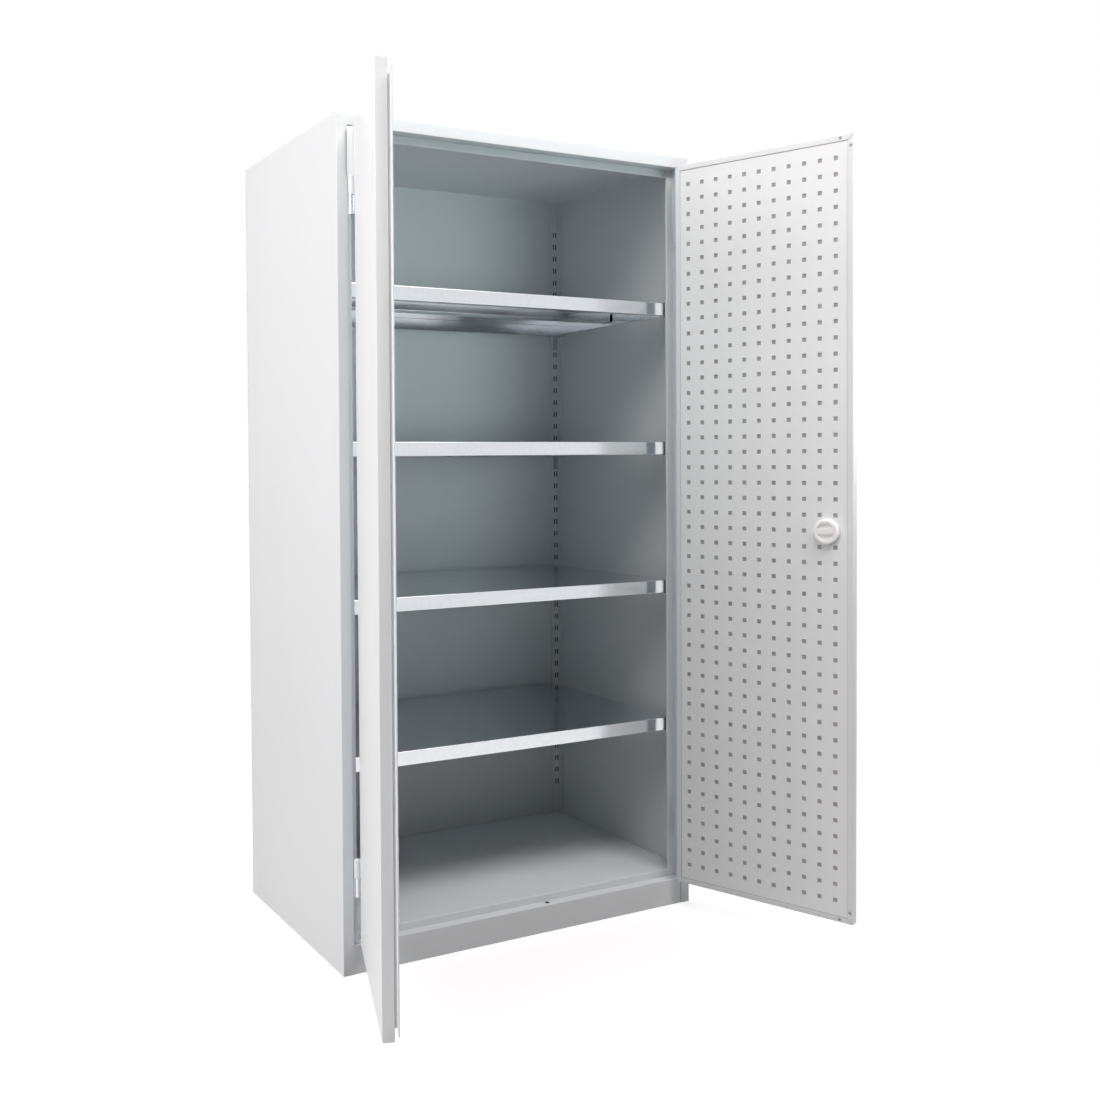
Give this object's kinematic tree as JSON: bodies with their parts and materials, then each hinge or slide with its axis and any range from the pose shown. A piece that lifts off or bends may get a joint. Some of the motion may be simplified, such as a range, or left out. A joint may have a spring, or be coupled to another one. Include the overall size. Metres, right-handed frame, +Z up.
{
  "type": "workshop cabinet",
  "caption": "Tall steel workshop cabinet with double doors, perforated tool panels inside the doors, clip-hung galvanised shelves and a rod lock.",
  "frame": {"origin": "on the ground, in the middle of the plinth foot's underside, behind the front plane", "axes": "+Z up, +Y from the doors to the back, +X to the right seen from the front"},
  "size_m": [1.2691, 1.0703, 1.95],
  "materials": {
    "light_grey_paint": "satin powder coat",
    "door_paint": "satin powder coat",
    "panel_paint": "satin powder coat",
    "galvanised_steel": "bright galvanised",
    "bright_steel": "plain drawn steel",
    "white_plastic": "moulded, satin",
    "dark_plastic": "moulded, fine grain"
  },
  "bodies": {
    "carcass": {"left_side_panel": "light_grey_paint", "right_side_panel": "light_grey_paint", "back_panel": "light_grey_paint", "top_panel": "light_grey_paint", "top_stop_rail": "light_grey_paint", "plinth_front": "light_grey_paint", "floor_panel": "light_grey_paint", "floor_stiffener": "galvanised_steel", "rear_left_upright": "light_grey_paint", "front_left_upright": "light_grey_paint", "rear_right_upright": "light_grey_paint", "front_right_upright": "light_grey_paint", "shelf_1_rear_left_clip": "galvanised_steel", "shelf_1_front_left_clip": "galvanised_steel", "shelf_1_rear_right_clip": "galvanised_steel", "shelf_1_front_right_clip": "galvanised_steel", "shelf_2_rear_left_clip": "galvanised_steel", "shelf_2_front_left_clip": "galvanised_steel", "shelf_2_rear_right_clip": "galvanised_steel", "shelf_2_front_right_clip": "galvanised_steel", "shelf_3_rear_left_clip": "galvanised_steel", "shelf_3_front_left_clip": "galvanised_steel", "shelf_3_rear_right_clip": "galvanised_steel", "shelf_3_front_right_clip": "galvanised_steel", "shelf_4_rear_left_clip": "galvanised_steel", "shelf_4_front_left_clip": "galvanised_steel", "shelf_4_rear_right_clip": "galvanised_steel", "shelf_4_front_right_clip": "galvanised_steel", "left_lower_frame_hinge": "galvanised_steel", "left_upper_frame_hinge": "galvanised_steel", "right_lower_frame_hinge": "galvanised_steel", "right_upper_frame_hinge": "galvanised_steel"},
    "left_door": {"left_lower_door_hinge": "door_paint", "left_upper_door_hinge": "door_paint", "left_door_pan": "door_paint", "left_door_panel": "panel_paint", "left_door_stiffener": "galvanised_steel", "left_stop_strip": "door_paint"},
    "right_door": {"right_lower_door_hinge": "door_paint", "right_upper_door_hinge": "door_paint", "right_door_pan": "door_paint", "right_door_panel": "panel_paint", "right_door_stiffener": "galvanised_steel", "handle_rosette": "dark_plastic"},
    "handle": {"outer_handle": "dark_plastic", "lock_cylinder": "bright_steel", "spindle_cam": "bright_steel", "inner_knob": "white_plastic"},
    "upper_rod": {"upper_lock_rod": "bright_steel"},
    "lower_rod": {"lower_lock_rod": "bright_steel"},
    "shelf_1": {"shelf_1": "galvanised_steel", "shelf_1_stiffener": "galvanised_steel"},
    "shelf_2": {"shelf_2": "galvanised_steel", "shelf_2_stiffener": "galvanised_steel"},
    "shelf_3": {"shelf_3": "galvanised_steel", "shelf_3_stiffener": "galvanised_steel"},
    "shelf_4": {"shelf_4": "galvanised_steel", "shelf_4_stiffener": "galvanised_steel"}
  },
  "joints": [
    {"name": "left_door_hinge", "type": "hinge", "parent": "carcass", "child": "left_door", "pos_m": [-0.466, -0.01935, 0.9945], "axis": [0, 0, 1], "range_deg": [-1.5, 110]},
    {"name": "right_door_hinge", "type": "hinge", "parent": "carcass", "child": "right_door", "pos_m": [0.466, -0.01935, 0.9945], "axis": [0, 0, -1], "range_deg": [0, 111.5]},
    {"name": "handle_turn", "type": "hinge", "parent": "right_door", "child": "handle", "pos_m": [0.60812, -0.39651, 0.9945], "axis": [0.9304, 0.3665, 0], "range_deg": [0, 90]},
    {"name": "upper_rod_slide", "type": "slide", "parent": "right_door", "child": "upper_rod", "axis": [0, 0, 1], "range_m": [0, 0.01499]},
    {"name": "lower_rod_slide", "type": "slide", "parent": "right_door", "child": "lower_rod", "axis": [0, 0, -1], "range_m": [0, 0.015]},
    {"name": "shelf_1_lift", "type": "slide", "parent": "carcass", "child": "shelf_1", "axis": [0, 0, 1], "range_m": [0, 0.0364]},
    {"name": "shelf_2_lift", "type": "slide", "parent": "carcass", "child": "shelf_2", "axis": [0, 0, 1], "range_m": [0, 0.0364]},
    {"name": "shelf_3_lift", "type": "slide", "parent": "carcass", "child": "shelf_3", "axis": [0, 0, 1], "range_m": [0, 0.0364]},
    {"name": "shelf_4_lift", "type": "slide", "parent": "carcass", "child": "shelf_4", "axis": [0, 0, 1], "range_m": [0, 0.0364]}
  ],
  "couplings": [
    {"joint": "handle_turn", "follows": "upper_rod_slide", "rad_per_m": 104.78},
    {"joint": "lower_rod_slide", "follows": "upper_rod_slide", "ratio": 1}
  ]
}
